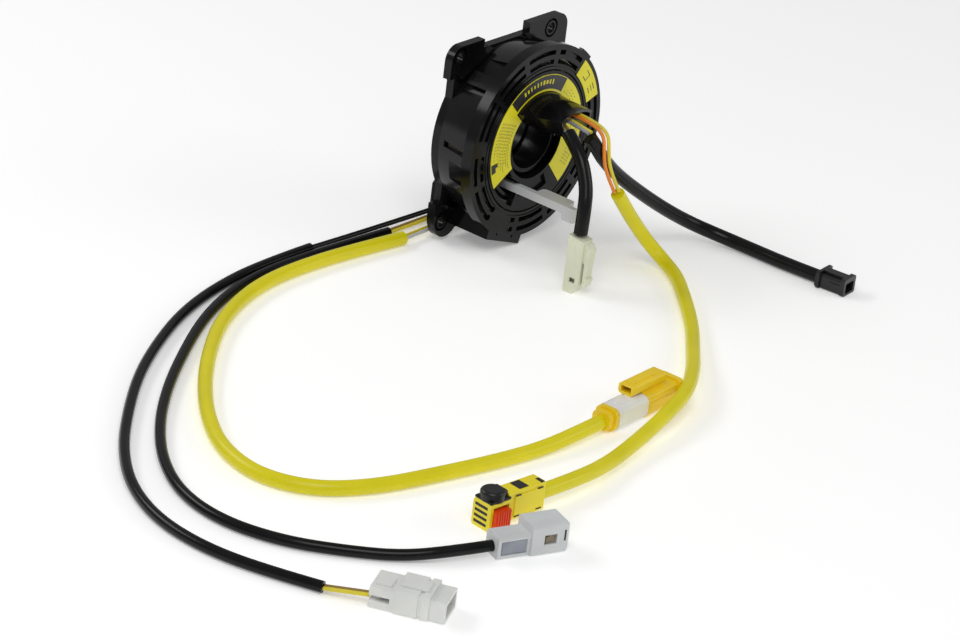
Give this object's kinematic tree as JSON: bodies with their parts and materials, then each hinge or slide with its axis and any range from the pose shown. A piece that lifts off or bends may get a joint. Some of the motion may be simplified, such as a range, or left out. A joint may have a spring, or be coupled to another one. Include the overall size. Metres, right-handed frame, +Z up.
{
  "type": "steering clock spring",
  "caption": "Slotted round drum on a square eared flange, with a turning labelled rotor, a curved cable horn, a lock pin and sleeved leads with plugs.",
  "frame": {"origin": "drum axis in the plane of the flange's mounting face", "axes": "+Y along the drum's axis towards the steering column, so that the face looks towards -Y; +Z up, as the part stands on its lug; +X to the right seen from the front"},
  "size_m": [0.4503, 0.2831, 0.1043],
  "materials": {
    "housing_plastic": "dark moulded plastic, fine satin grain",
    "rotor_plastic": "dark moulded plastic, smooth",
    "label_yellow": "printed film label",
    "pin_plastic": "pale grey moulded plastic",
    "terminal_plastic": "natural moulded plastic",
    "ribbon_film": "laminated flat conductor film",
    "sleeve_black": "soft vinyl tube",
    "sleeve_yellow": "soft vinyl tube",
    "wire_yellow": "wire insulation",
    "wire_orange": "wire insulation",
    "wire_grey": "wire insulation",
    "wire_brown": "wire insulation",
    "plug_white": "natural white moulded plastic",
    "plug_black": "black moulded plastic",
    "plug_yellow": "yellow moulded plastic",
    "lock_white": "translucent white moulded plastic",
    "lock_red": "red moulded plastic"
  },
  "bodies": {
    "stator": {"stator_housing": "housing_plastic", "front_cover": "housing_plastic", "turn_label": "label_yellow", "stator_terminal_block": "terminal_plastic", "ribbon_cable": "ribbon_film", "lead_outlet": "housing_plastic", "short_lead": "sleeve_black", "switch_lead": "sleeve_black", "airbag_wire_orange": "wire_orange", "airbag_wire_yellow": "wire_yellow", "airbag_lead": "sleeve_yellow", "supply_lead": "sleeve_yellow", "supply_wire_left": "wire_yellow", "supply_wire_right": "wire_yellow", "outer_lead": "sleeve_black", "outer_wire_left": "wire_grey", "outer_wire_right": "wire_brown", "outer_tail_left": "wire_yellow", "outer_tail_right": "wire_brown", "inner_lead": "sleeve_black", "inner_wire_left": "wire_grey", "inner_wire_right": "wire_brown", "short_plug": "plug_white", "switch_plug": "plug_black", "inner_plug": "plug_white", "outer_plug": "plug_white", "supply_plug": "plug_yellow", "supply_plug_lock": "lock_white", "squib_plug": "plug_yellow", "squib_cap": "plug_black"},
    "rotor": {"rotor": "rotor_plastic", "rotor_retainer": "rotor_plastic", "cable_horn": "rotor_plastic", "rotor_terminal_block": "terminal_plastic", "rotor_label": "label_yellow", "short_wire_left": "wire_grey", "short_wire_right": "wire_brown", "short_lead_root": "sleeve_black", "switch_wire_grey": "wire_grey", "switch_wire_yellow": "wire_yellow", "airbag_wire_orange_root": "wire_orange", "airbag_wire_yellow_root": "wire_yellow"},
    "pin": {"lock_pin": "pin_plastic"},
    "squib_slide": {"squib_lock": "lock_red"}
  },
  "joints": [
    {"name": "rotor_turn", "type": "hinge", "parent": "stator", "child": "rotor", "pos_m": [0, 0, 0], "axis": [0, 1, 0], "range_deg": [-900, 900]},
    {"name": "lock_pin_pull", "type": "slide", "parent": "rotor", "child": "pin", "axis": [0, -1, 0], "range_m": [0, 0.025]},
    {"name": "squib_lock_slide", "type": "slide", "parent": "stator", "child": "squib_slide", "axis": [0, 0, 1], "range_m": [0, 0.0015]}
  ]
}
